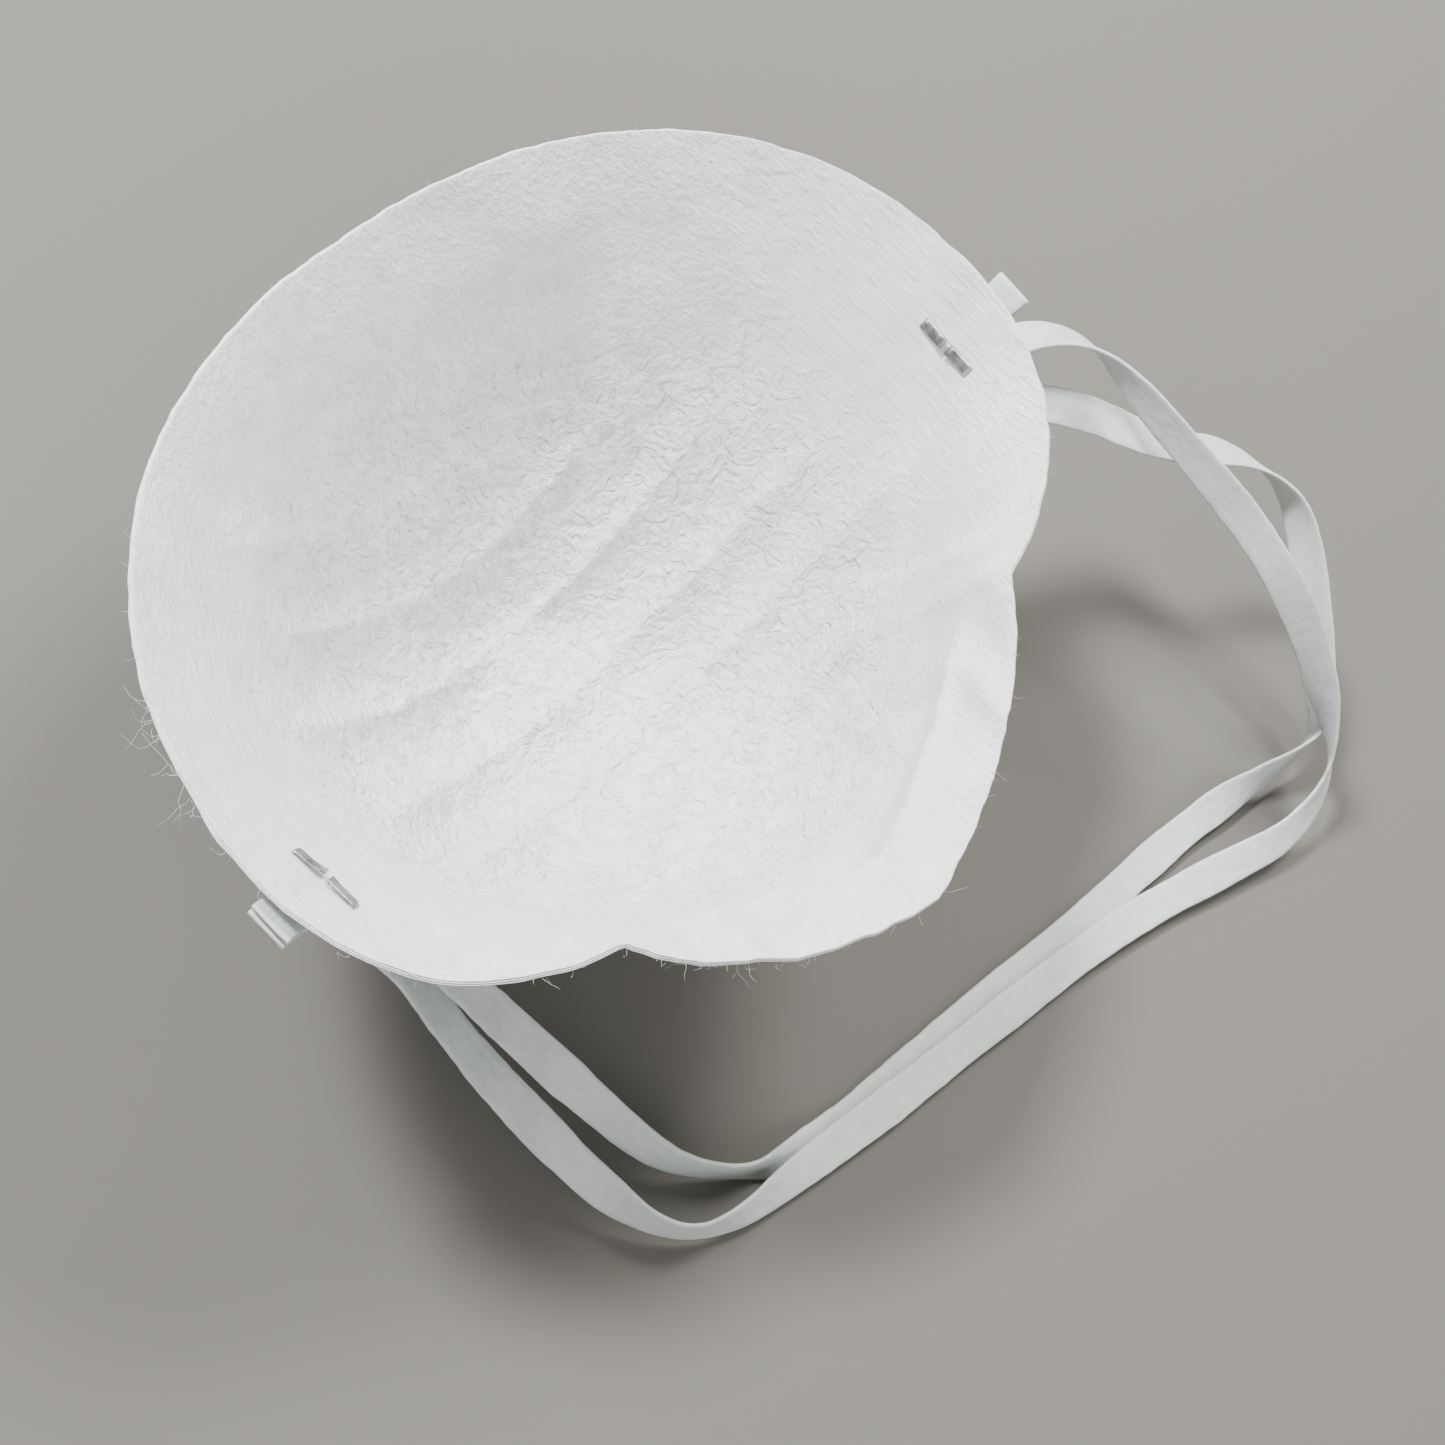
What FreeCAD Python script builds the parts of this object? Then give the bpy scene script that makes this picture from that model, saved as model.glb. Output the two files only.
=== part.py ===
import FreeCAD, Part
import Sketcher
import math
import os
from FreeCAD import Placement, Rotation, Vector

# A disposable dust mask, lying on its moulded front with the open side up.
# +Z is up, -Y is the nose end, +Y the chin, and X runs from ear to ear. The
# origin is the middle of the base, on the surface that the mask lies on.
# Millimetres throughout.

DOC = FreeCAD.newDocument("dust_mask")

# ---------------------------------------------------------------- dimensions
DIMENSIONS = [
    # the formed cup, measured on its inside face
    ("rim_width", 126.4, "ear to ear across the rim"),
    ("rim_length", 108.4, "nose to chin along the rim"),
    ("ear_height", 55.6, "rim above the resting surface at the ears"),
    ("chin_height", 48.8, "rim above the resting surface at the chin"),
    ("nose_height", 46.6, "rim above the resting surface at the nose"),
    ("crown_width", 19.0, "flat of the crown that the cup rests on"),
    ("notch_angle", 130.0, "where the rim dips in beside the nose, from the chin"),
    ("notch_depth", 0.205, "how far the rim dips in there, as a share of its radius"),
    # the three bonded layers, from the face outwards
    ("shell_thickness", 0.5, "moulded inner shell"),
    ("web_thickness", 0.6, "filter web"),
    ("cover_thickness", 0.45, "outer cover"),
    ("layer_gap", 0.05, "air between two layers"),
    # the nose clip under the flange
    ("clip_reach", 37.0, "angle that the clip covers each side of the nose"),
    ("clip_width", 5.0, "width of the aluminium strip"),
    ("clip_thickness", 0.5, "thickness of the aluminium strip"),
    ("clip_inset", 2.6, "rim to the near edge of the strip"),
    # the staples
    ("staple_angle", 93.5, "place of a staple round the rim, from the chin"),
    ("staple_inset", 9.4, "rim to staple, along the slope"),
    ("staple_length", 9.0, "crown of a staple, leg to leg"),
    ("wire_diameter", 0.5, "staple wire"),
    ("clinch_length", 3.9, "a leg's bent-over end"),
    ("clinch_rise", 0.5, "bent-over ends above the inner shell"),
    ("leg_clearance", 0.08, "round a leg where it passes the layers"),
    # the straps
    ("strap_width", 5.5, "width of an elastic strap"),
    ("strap_thickness", 0.6, "thickness of an elastic strap"),
    ("strap_clearance", 0.1, "between a strap and what lies next to it"),
]


def make_sheet(rows):
    """Put every driving dimension into the sheet, one aliased cell each."""
    sheet = DOC.addObject("Spreadsheet::Sheet", "Dimensions")
    for number, (alias, value, note) in enumerate(rows, start=1):
        sheet.set("A%d" % number, alias)
        sheet.set("B%d" % number, str(value))
        sheet.set("C%d" % number, note)
        sheet.setAlias("B%d" % number, alias)
    DOC.recompute()
    return sheet


SHEET = make_sheet(DIMENSIONS)


def size(alias):
    """The current value of one driving dimension."""
    return float(SHEET.get(alias))


# ------------------------------------------------------------- the cup's form
# Rows run from the rim down to the flat crown. Each row holds, for the chin,
# the ear and the nose, its reach from the middle and its height, both as
# shares of the rim's there, and how much of the rim's notches it still shows.
CUP_ROWS = [
    # chin reach, height, ear reach, height, nose reach, height, notch
    (1.000, 1.000, 1.000, 1.000, 1.000, 1.000, 1.00),
    (0.934, 0.930, 0.938, 0.932, 0.922, 0.966, 0.95),
    (0.862, 0.842, 0.868, 0.850, 0.850, 0.922, 0.80),
    (0.784, 0.722, 0.786, 0.735, 0.792, 0.780, 0.52),
    (0.692, 0.566, 0.700, 0.588, 0.742, 0.592, 0.28),
    (0.580, 0.390, 0.584, 0.408, 0.676, 0.398, 0.12),
    (0.444, 0.228, 0.438, 0.216, 0.560, 0.226, 0.04),
    (0.300, 0.090, 0.286, 0.070, 0.372, 0.085, 0.00),
]
RIM_ROUNDNESS = 2.15  # exponent of the rim's oval: 2 would be an ellipse
NOTCH_FADE = 1.7  # exponent: how late the rim dips in between ear and notch
RIM_ARCH = 1.7  # how early the rim climbs from nose and chin to the ears
CROWN_EASE = 1.3  # the cup's curve ends this much wider than the crown's flat
STATIONS = 48  # points round each row
DEGREE = 3  # of the smooth surfaces
WALK_STEP = 0.002  # of a row, when a distance is walked down the slope
CLIP_STATIONS = 15  # points along each edge of the nose clip
LEG_REACH = 6.0  # of a leg's cutting tool, to each side of the inner face


def layer_stack():
    """Thickness of all three layers with the gaps between them."""
    solid = size("shell_thickness") + size("web_thickness") + size("cover_thickness")
    return solid + 2 * size("layer_gap")


def notch_share(angle):
    """Dip of the rim's radius at an angle from the chin, 0 to 180 degrees."""
    notch = size("notch_angle")
    if angle <= 90:
        return 0.0
    if angle < notch:
        return size("notch_depth") * ((angle - 90) / (notch - 90)) ** NOTCH_FADE
    return size("notch_depth") * (180 - angle) / (180 - notch)


def oval_radius(angle):
    """Radius of the rounded oval that the rim is drawn on."""
    across = abs(math.sin(math.radians(angle))) / (size("rim_width") / 2)
    along = abs(math.cos(math.radians(angle))) / (size("rim_length") / 2)
    total = across**RIM_ROUNDNESS + along**RIM_ROUNDNESS
    return total ** (-1 / RIM_ROUNDNESS)


def rim_height(angle):
    """Height of the rim: an arch from nose and chin up to the ears."""
    end = size("chin_height") if angle < 90 else size("nose_height")
    climb = abs(math.sin(math.radians(angle))) ** RIM_ARCH
    return end + (size("ear_height") - end) * climb


def form_point(row, angle):
    """A point of the cup's inner face, at an angle of -180 to 180 degrees."""
    turn = abs(angle)
    chin_reach, chin_drop, ear_reach, ear_drop, nose_reach, nose_drop, notch = row
    side = math.sin(math.radians(turn)) ** 2
    end_reach = chin_reach if turn < 90 else nose_reach
    end_drop = chin_drop if turn < 90 else nose_drop
    reach = ear_reach * side + end_reach * (1 - side)
    drop = ear_drop * side + end_drop * (1 - side)
    radius = oval_radius(turn) * reach * (1 - notch * notch_share(turn))
    floor = layer_stack()
    height = floor + (rim_height(turn) - floor) * drop
    x = radius * math.sin(math.radians(angle))
    y = radius * math.cos(math.radians(angle))
    return Vector(x, y, height)


def crown_row(radius, height):
    """A level ring of the flat crown."""
    ring = []
    for station in range(STATIONS):
        turn = 2 * math.pi * station / STATIONS
        ring.append(Vector(radius * math.sin(turn), radius * math.cos(turn), height))
    return ring


def form_grid():
    """All rows of the inner face, rim first, ending on the flat crown."""
    angles = [360.0 * station / STATIONS for station in range(STATIONS)]
    signed = [angle if angle <= 180 else angle - 360 for angle in angles]
    grid = [[form_point(row, angle) for angle in signed] for row in CUP_ROWS]
    flat = size("crown_width") / 2
    grid.append(crown_row(CROWN_EASE * flat, layer_stack()))
    grid.append(crown_row(flat, layer_stack()))
    return grid


def outward_normals(grid):
    """Unit normals of the grid that point away from the wearer's face."""
    rows = len(grid)
    normals = []
    for j in range(rows):
        above = grid[max(j - 1, 0)]
        below = grid[min(j + 1, rows - 1)]
        line = []
        for i in range(STATIONS):
            round_rim = grid[j][(i + 1) % STATIONS] - grid[j][i - 1]
            down = below[i] - above[i]
            line.append(round_rim.cross(down).normalize())
        normals.append(line)
    normals[-1] = [Vector(0, 0, -1)] * STATIONS
    normals[-2] = [Vector(0, 0, -1)] * STATIONS
    return normals


GRID = form_grid()
NORMALS = outward_normals(GRID)
EVEN_STEPS = [float(step) for step in range(STATIONS + 1)]


def ring_curve(points):
    """The smooth closed curve through a row's points."""
    curve = Part.BSplineCurve()
    curve.interpolate(Points=points, PeriodicFlag=True, Parameters=EVEN_STEPS)
    return curve


def form_surface(offset):
    """The cup's surface at a distance outside its inner face."""
    rings = []
    for points, normals in zip(GRID, NORMALS):
        moved = [point + normal * offset for point, normal in zip(points, normals)]
        rings.append(ring_curve(moved))
    poles = [list(column) for column in zip(*[ring.getPoles() for ring in rings])]
    spans = len(rings) - DEGREE
    surface = Part.BSplineSurface()
    surface.buildFromPolesMultsKnots(
        poles,
        rings[0].getMultiplicities(),
        [DEGREE + 1] + [1] * (spans - 1) + [DEGREE + 1],
        rings[0].getKnots(),
        [float(knot) for knot in range(spans + 1)],
        True,
        False,
        DEGREE,
        DEGREE,
    )
    return surface


def end_edge(surface, knot):
    """The closed edge of the surface at one end of its rows."""
    return surface.vIso(knot).toShape()


# ------------------------------------------------------------ the three layers
def closed_solid(faces):
    """One solid from faces that meet edge to edge."""
    shell = Part.Shell(faces)
    shell.sewShape()
    solid = Part.Solid(shell)
    if solid.Volume < 0:
        solid.reverse()
    return solid


def layer_shape(near, far):
    """A formed layer between two distances outside the inner face."""
    inside = form_surface(near)
    outside = form_surface(far)
    last_knot = float(len(GRID) - DEGREE)
    rim_edges = [end_edge(inside, 0.0), end_edge(outside, 0.0)]
    crowns = [Part.Face(Part.Wire(end_edge(side, last_knot))) for side in (inside, outside)]
    faces = [inside.toShape(), outside.toShape(), Part.makeRuledSurface(*rim_edges)]
    return closed_solid(faces + crowns)


def below_rim(surface, angle, distance):
    """Point and outward normal of a surface, a distance down from its rim."""
    across = angle / 360.0 * STATIONS % STATIONS
    down = 0.0
    point = surface.value(across, down)
    walked = 0.0
    while walked < distance:
        down += WALK_STEP
        following = surface.value(across, down)
        walked += (following - point).Length
        point = following
    return point, surface.normal(across, down)


def staple_placement(side):
    """Frame of a staple: X along its crown, Z from the outside to the face."""
    turn = side * size("staple_angle")
    point, outward = below_rim(form_surface(0.0), turn, size("staple_inset"))
    inward = outward * -1
    crown = Vector(0, 1, 0)
    crown = (crown - inward * crown.dot(inward)).normalize()
    across = inward.cross(crown)
    return Placement(point, Rotation(crown, across, inward, "ZXY"))


def leg_tool(name):
    """The four straight holes that the staple legs leave in every layer."""
    legs = []
    for side in (1, -1):
        for end in (-0.5, 0.5):
            leg = DOC.addObject("Part::Cylinder", "%s_leg_%d" % (name, len(legs) + 1))
            leg.setExpression("Radius", "Dimensions.wire_diameter / 2 + Dimensions.leg_clearance")
            leg.Height = 2 * LEG_REACH
            offset = Vector(end * size("staple_length"), 0, -LEG_REACH)
            leg.Placement = staple_placement(side) * Placement(offset, Rotation())
            legs.append(leg)
    tool = DOC.addObject("Part::MultiFuse", name)
    tool.Shapes = legs
    return tool


def make_layer(label, near, thickness):
    """One layer: the formed sheet with the holes that the staples made."""
    sheet = DOC.addObject("Part::Feature", label + "_sheet")
    sheet.Shape = layer_shape(near, near + thickness)
    layer = DOC.addObject("Part::Cut", label)
    layer.Base = sheet
    layer.Tool = leg_tool(label + "_holes")
    layer.Label = label
    return layer


# ---------------------------------------------------------------- the nose clip
def make_nose_clip():
    """A flat aluminium strip that follows the outside of the nose flange."""
    near = layer_stack() + size("layer_gap")
    low = form_surface(near)
    high = form_surface(near + size("clip_thickness"))
    corners = []
    for surface in (low, high):
        for inset in (size("clip_inset"), size("clip_inset") + size("clip_width")):
            points = []
            for number in range(CLIP_STATIONS):
                share = 2.0 * number / (CLIP_STATIONS - 1) - 1
                angle = 180 + share * size("clip_reach")
                points.append(below_rim(surface, angle, inset)[0])
            curve = Part.BSplineCurve()
            curve.interpolate(points)
            corners.append(curve.toShape())
    rim_low, cup_low, rim_high, cup_high = corners
    sides = [(rim_low, cup_low), (rim_high, cup_high), (rim_low, rim_high), (cup_low, cup_high)]
    faces = [Part.makeRuledSurface(first, second) for first, second in sides]
    for end in (0, -1):
        tips = [edge.Vertexes[end].Point for edge in corners]
        faces.append(Part.makeRuledSurface(Part.makeLine(*tips[:2]), Part.makeLine(*tips[2:])))
    clip = DOC.addObject("Part::Feature", "nose_clip")
    clip.Shape = closed_solid(faces)
    return clip


# ------------------------------------------------------------------ the staples
def origin_plane(body, role):
    """One of a body's own base planes."""
    return [item for item in body.Origin.OriginFeatures if item.Role == role][0]


def bind(sketch, constraint, expression):
    """Add a constraint to a sketch and tie its value to the sheet."""
    index = sketch.addConstraint(constraint)
    sketch.setExpression("Constraints[%d]" % index, expression)


CROWN_DEPTH = (
    "Dimensions.shell_thickness + Dimensions.web_thickness + Dimensions.cover_thickness"
    " + 2 * Dimensions.layer_gap + 2 * Dimensions.strap_thickness"
    " + 3 * Dimensions.strap_clearance + Dimensions.wire_diameter / 2"
)


def crown_depth():
    """Middle of a staple's crown below the inner face: layers, then two straps."""
    straps = 2 * size("strap_thickness") + 3 * size("strap_clearance")
    return layer_stack() + straps + size("wire_diameter") / 2


def staple_path(body, name):
    """Side view of a staple: crown outside, two legs, two bent-over ends."""
    half = size("staple_length") / 2
    low = -crown_depth()
    high = size("clinch_rise")
    tip = half - size("clinch_length")
    corners = [(-tip, high), (-half, high), (-half, low), (half, low), (half, high), (tip, high)]
    sketch = body.newObject("Sketcher::SketchObject", name + "_path")
    sketch.AttachmentSupport = [(origin_plane(body, "XZ_Plane"), "")]
    sketch.MapMode = "FlatFace"
    for first, second in zip(corners, corners[1:]):
        sketch.addGeometry(Part.LineSegment(Vector(*first, 0), Vector(*second, 0)), False)
    clinch_left, leg_left, crown, leg_right, clinch_right = range(5)
    start, end, origin = 1, 2, -1
    for line in (clinch_left, leg_left, crown, leg_right):
        sketch.addConstraint(Sketcher.Constraint("Coincident", line, end, line + 1, start))
    for line in (clinch_left, crown, clinch_right):
        sketch.addConstraint(Sketcher.Constraint("Horizontal", line))
    for line in (leg_left, leg_right):
        sketch.addConstraint(Sketcher.Constraint("Vertical", line))
    rules = [
        ("DistanceX", crown, start, crown, end, 2 * half, "Dimensions.staple_length"),
        ("DistanceX", origin, start, crown, end, half, "Dimensions.staple_length / 2"),
        ("DistanceY", crown, end, origin, start, -low, CROWN_DEPTH),
        ("DistanceY", origin, start, leg_left, start, high, "Dimensions.clinch_rise"),
        ("DistanceY", origin, start, leg_right, end, high, "Dimensions.clinch_rise"),
        ("DistanceX", clinch_left, end, clinch_left, start, half - tip, "Dimensions.clinch_length"),
        ("DistanceX", clinch_right, end, clinch_right, start, half - tip, "Dimensions.clinch_length"),
    ]
    for *rule, expression in rules:
        bind(sketch, Sketcher.Constraint(*rule), expression)
    return sketch


def staple_section(body, name):
    """Round section of the wire, at the tip of the first bent-over end."""
    sketch = body.newObject("Sketcher::SketchObject", name + "_section")
    sketch.AttachmentSupport = [(origin_plane(body, "YZ_Plane"), "")]
    sketch.MapMode = "FlatFace"
    tip = "Dimensions.clinch_length - Dimensions.staple_length / 2"
    sketch.setExpression("AttachmentOffset.Base.z", tip)
    centre = Vector(0, size("clinch_rise"), 0)
    wire = Part.Circle(centre, Vector(0, 0, 1), size("wire_diameter") / 2)
    circle = sketch.addGeometry(wire, False)
    upright_axis, origin, middle = -2, -1, 3
    sketch.addConstraint(Sketcher.Constraint("PointOnObject", circle, middle, upright_axis))
    rise = Sketcher.Constraint("DistanceY", origin, 1, circle, middle, size("clinch_rise"))
    bind(sketch, rise, "Dimensions.clinch_rise")
    radius = Sketcher.Constraint("Radius", circle, size("wire_diameter") / 2)
    bind(sketch, radius, "Dimensions.wire_diameter / 2")
    return sketch


def make_staple(label, side):
    """One staple, swept from its wire's section along its bent path."""
    body = DOC.addObject("PartDesign::Body", label)
    path = staple_path(body, label)
    section = staple_section(body, label)
    pipe = body.newObject("PartDesign::AdditivePipe", label + "_wire")
    pipe.Profile = section
    pipe.Spine = (path, ["Edge%d" % number for number in range(1, 6)])
    pipe.Transition = "Right corner"
    body.Tip = pipe
    body.Placement = staple_placement(side)
    body.Label = label
    return body


# ------------------------------------------------------------------- the straps
# Each row is a point that the middle of the strap makes for, then the way that
# its width lies there. Both straps run from the tail past the right-hand staple,
# down outside the cup, round the nose end along the resting surface and up to
# the left-hand staple. The neck strap lies next to the cup.
CROWN_STRAP = [
    ((67.4, -3.7, 54.3), (0, -1, 0)),
    ((63.6, -3.7, 52.2), (0, -1, 0)),
    ((59.94, -3.69, 48.98), (-0.065, -0.996, 0.062)),
    ((56.34, -3.69, 45.22), (-0.065, -0.996, 0.062)),
    ((55.2, -4.2, 40.4), (0, -1, 0)),
    ((57.4, -4.9, 35.6), (0, -1, 0)),
    ((63.2, -6.2, 33.6), (0.1, -1, 0)),
    ((70.2, -7.2, 35.4), (0, -1, 0.1)),
    ((76.8, -8.2, 37.4), (-0.2, -1, 0.15)),
    ((82.1, -12.2, 38.7), (-0.68, -0.58, 0.46)),
    ((84.5, -17.1, 39.3), (-0.66, -0.07, 0.75)),
    ((84.4, -23.4, 39.7), (-0.05, -0.02, 1)),
    ((84.6, -32.5, 39.0), (0.32, -0.1, 0.94)),
    ((85.8, -41.6, 37.3), (0.53, -0.11, 0.84)),
    ((87.6, -51.3, 34.6), (0.68, -0.13, 0.72)),
    ((88.3, -61.9, 31.3), (0.7, -0.23, 0.67)),
    ((89.6, -71.5, 25.5), (0.66, -0.37, 0.66)),
    ((89.7, -79.1, 20.1), (0.27, -0.59, 0.76)),
    ((90.1, -86.1, 13.8), (-0.48, -0.54, 0.69)),
    ((88.8, -91.8, 9.3), (-0.81, 0.14, 0.57)),
    ((83.4, -94.6, 6.3), (-0.4, 0.68, 0.61)),
    ((76.1, -94.7, 4.1), (0.01, 0.88, 0.48)),
    ((69.1, -92.4, 2.8), (0.27, 0.93, 0.27)),
    ((53.9, -87.5, 1.6), (0.2, 0.98, 0)),
    ((41.0, -84.0, 1.5), (0.2, 0.98, 0)),
    ((18.4, -80.1, 1.5), (0.2, 0.98, 0)),
    ((-2.9, -76.8, 1.5), (0.2, 0.98, 0)),
    ((-14.7, -74.6, 1.7), (0.2, 0.97, 0.1)),
    ((-24.0, -72.8, 2.7), (0.22, 0.81, 0.54)),
    ((-31.9, -71.4, 3.9), (0.25, 0.52, 0.82)),
    ((-39.0, -68.0, 4.2), (0.16, 0.09, 0.98)),
    ((-42.9, -61.4, 4.8), (0.41, -0.02, 0.91)),
    ((-44.9, -52.0, 7.1), (0.88, -0.02, 0.48)),
    ((-46.9, -40.0, 12.8), (0.99, 0.14, 0.05)),
    ((-48.9, -28.2, 20.0), (0.95, 0.28, -0.15)),
    ((-50.6, -17.2, 31.0), (0.85, 0.45, -0.2)),
    ((-53.4, -9.8, 37.4), (0.65, 0.75, -0.1)),
    ((-55.4, -5.0, 41.0), (0.3, 0.95, 0)),
    ((-56.34, -3.69, 45.22), (-0.065, 0.996, -0.062)),
    ((-59.94, -3.69, 48.98), (-0.065, 0.996, -0.062)),
    ((-62.6, -3.7, 51.2), (0, 1, 0)),
    ((-65.4, -3.7, 52.6), (0, 1, 0)),
]
NECK_STRAP = [
    ((66.6, -3.6, 55.0), (0, -1, 0)),
    ((63.1, -3.6, 52.7), (0, -1, 0)),
    ((59.44, -3.62, 49.46), (-0.065, -0.996, 0.062)),
    ((55.84, -3.62, 45.7), (-0.065, -0.996, 0.062)),
    ((53.8, -4.6, 40.9), (0, -1, 0)),
    ((54.4, -6.6, 35.8), (-0.2, -0.95, 0.1)),
    ((59.0, -10.2, 32.0), (-0.4, -0.85, 0)),
    ((68.0, -12.4, 31.3), (-0.45, -0.85, 0)),
    ((75.9, -16.8, 31.8), (-0.55, -0.75, -0.1)),
    ((81.9, -24.1, 32.1), (-0.64, -0.64, -0.42)),
    ((85.0, -29.8, 31.8), (-0.78, -0.55, -0.3)),
    ((91.7, -36.7, 30.0), (-0.64, -0.77, -0.05)),
    ((100.0, -42.0, 27.9), (-0.59, -0.77, 0.26)),
    ((105.1, -48.2, 26.4), (-0.53, -0.43, 0.73)),
    ((106.4, -54.7, 25.1), (-0.19, -0.25, 0.95)),
    ((104.9, -60.4, 23.1), (0.2, -0.42, 0.89)),
    ((101.7, -67.4, 20.2), (0.56, -0.56, 0.62)),
    ((98.8, -74.9, 15.6), (0.39, -0.6, 0.7)),
    ((96.8, -82.1, 10.2), (0.07, -0.59, 0.8)),
    ((94.1, -86.6, 7.5), (-0.42, -0.14, 0.9)),
    ((89.2, -87.3, 5.8), (-0.24, 0.31, 0.92)),
    ((82.0, -85.7, 4.0), (-0.05, 0.59, 0.81)),
    ((72.4, -83.6, 2.2), (0.12, 0.96, 0.27)),
    ((60.6, -82.0, 0.7), (0.2, 0.98, 0)),
    ((39.6, -80.3, 0.5), (0.2, 0.98, 0)),
    ((22.9, -77.7, 0.5), (0.2, 0.98, 0)),
    ((-0.4, -75.0, 0.5), (0.2, 0.98, 0)),
    ((-12.5, -73.4, 0.5), (0.2, 0.98, 0)),
    ((-21.6, -70.8, 2.1), (0.39, 0.72, 0.58)),
    ((-27.4, -67.5, 3.0), (0.18, 0.01, 0.98)),
    ((-32.8, -61.8, 4.1), (0.34, 0, 0.94)),
    ((-36.0, -55.9, 6.1), (0.66, -0.09, 0.75)),
    ((-39.1, -44.4, 11.7), (0.87, -0.05, 0.5)),
    ((-42.6, -33.0, 19.9), (0.96, 0.29, 0.06)),
    ((-46.2, -24.2, 29.2), (0.87, 0.47, -0.15)),
    ((-48.6, -17.0, 34.8), (0.8, 0.6, -0.1)),
    ((-52.6, -8.8, 40.2), (0.4, 0.9, 0)),
    ((-55.84, -3.62, 45.7), (-0.065, 0.996, -0.062)),
    ((-59.44, -3.62, 49.46), (-0.065, 0.996, -0.062)),
    ((-62.2, -3.6, 51.9), (0, 1, 0)),
    ((-64.9, -3.6, 53.6), (0, 1, 0)),
]
BEND_SHARE = 0.45  # part of the shorter run that a bend takes up
BEND_STEP = 14.0  # degrees of turn between two sections of a strap
TWIST_STEPS = 3  # sections along a straight run, to carry the strap's twist


def rounded_route(points):
    """Straight runs joined by tangent arcs, with the radius of each arc."""
    edges = []
    radii = []
    start = points[0]
    for before, corner, after in zip(points, points[1:], points[2:]):
        back = (before - corner).normalize()
        ahead = (after - corner).normalize()
        turn = math.pi - back.getAngle(ahead)
        reach = BEND_SHARE * min((before - corner).Length, (after - corner).Length)
        radius = reach / math.tan(turn / 2)
        middle = (back + ahead).normalize()
        depth = radius / math.cos(turn / 2) - radius
        first = corner + back * reach
        last = corner + ahead * reach
        edges.append(Part.LineSegment(start, first).toShape())
        edges.append(Part.Arc(first, corner + middle * depth, last).toShape())
        radii.append(radius)
        start = last
    edges.append(Part.LineSegment(start, points[-1]).toShape())
    return Part.Wire(edges), radii


def route_sections(route, widths):
    """Places along the route, each with its heading and the strap's width way."""
    edges = route.Edges
    lengths = [edge.Length for edge in edges]
    marks = [0.0]
    for number in range(1, len(edges), 2):
        marks.append(sum(lengths[:number]) + lengths[number] / 2)
    marks.append(sum(lengths))
    sections = []
    walked = 0.0
    for number, edge in enumerate(edges):
        bends = number % 2 == 1
        first, last = edge.ParameterRange
        turn = math.degrees(abs(last - first)) if bends else 0.0
        steps = max(1, math.ceil(turn / BEND_STEP)) if bends else TWIST_STEPS
        for step in range(steps + (number == len(edges) - 1)):
            share = step / steps
            parameter = first + (last - first) * share
            heading = edge.tangentAt(parameter)
            way = blended_way(marks, widths, walked + lengths[number] * share)
            way = (way - heading * way.dot(heading)).normalize()
            sections.append((edge.valueAt(parameter), heading, way))
        walked += lengths[number]
    return sections


def blended_way(marks, widths, distance):
    """The strap's width way at a distance, between the two nearest points."""
    for number in range(len(marks) - 1):
        if distance <= marks[number + 1] or number == len(marks) - 2:
            share = (distance - marks[number]) / (marks[number + 1] - marks[number])
            share = min(max(share, 0.0), 1.0)
            return widths[number] * (1 - share) + widths[number + 1] * share


def strap_outline(place, heading, way):
    """The strap's rectangular section at one place."""
    half_width = way * (size("strap_width") / 2)
    half_thickness = heading.cross(way).normalize() * (size("strap_thickness") / 2)
    corners = [
        place - half_width - half_thickness,
        place + half_width - half_thickness,
        place + half_width + half_thickness,
        place - half_width + half_thickness,
    ]
    return Part.makePolygon(corners + corners[:1])


def make_strap(label, rows):
    """A flat elastic strap along its route."""
    points = [Vector(*point) for point, way in rows]
    widths = [Vector(*way) for point, way in rows]
    route, radii = rounded_route(points)
    outlines = [strap_outline(*section) for section in route_sections(route, widths)]
    strap = DOC.addObject("Part::Feature", label)
    strap.Shape = Part.makeLoft(outlines, True, True)
    strap.Label = label
    section = size("strap_width") * size("strap_thickness")
    print(label, "length %.1f mm" % route.Length, "tightest bend %.1f mm" % min(radii))
    print(label, "volume %.1f of %.1f mm3" % (strap.Shape.Volume, section * route.Length))
    print(label, "bends", " ".join("%.1f" % radius for radius in radii))
    return strap


# -------------------------------------------------------------------- the build
def build():
    """Make every sub-part, in the order that the mask is put together."""
    shell = size("shell_thickness")
    web = size("web_thickness")
    gap = size("layer_gap")
    return [
        make_layer("inner_shell", 0.0, shell),
        make_layer("filter_web", shell + gap, web),
        make_layer("outer_cover", shell + gap + web + gap, size("cover_thickness")),
        make_nose_clip(),
        make_strap("neck_strap", NECK_STRAP),
        make_strap("crown_strap", CROWN_STRAP),
        make_staple("staple_right", 1),
        make_staple("staple_left", -1),
    ]


def check_and_write(parts):
    """Refuse a failed object or a bad shape, then write one file per sub-part."""
    DOC.recompute()
    for item in DOC.Objects:
        if "Invalid" in item.State or "Error" in item.State:
            raise RuntimeError("%s failed: %s" % (item.Label, item.State))
    for part in parts:
        if part.Shape.isNull() or not part.Shape.isValid() or not part.Shape.Solids:
            raise RuntimeError("%s has no sound shape" % part.Label)
    os.makedirs("parts", exist_ok=True)
    for part in parts:
        part.Shape.exportStep("parts/%s.step" % part.Label)
        print(part.Label, "solids", len(part.Shape.Solids), "volume %.1f" % part.Shape.Volume)


check_and_write(build())
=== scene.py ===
"""A disposable dust mask lying on its moulded front, open side up.

Metres. +Z is up, -Y is the nose end and X runs from ear to ear.
"""

import math

import bpy
import numpy as np
from mathutils import Matrix, Vector


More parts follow.
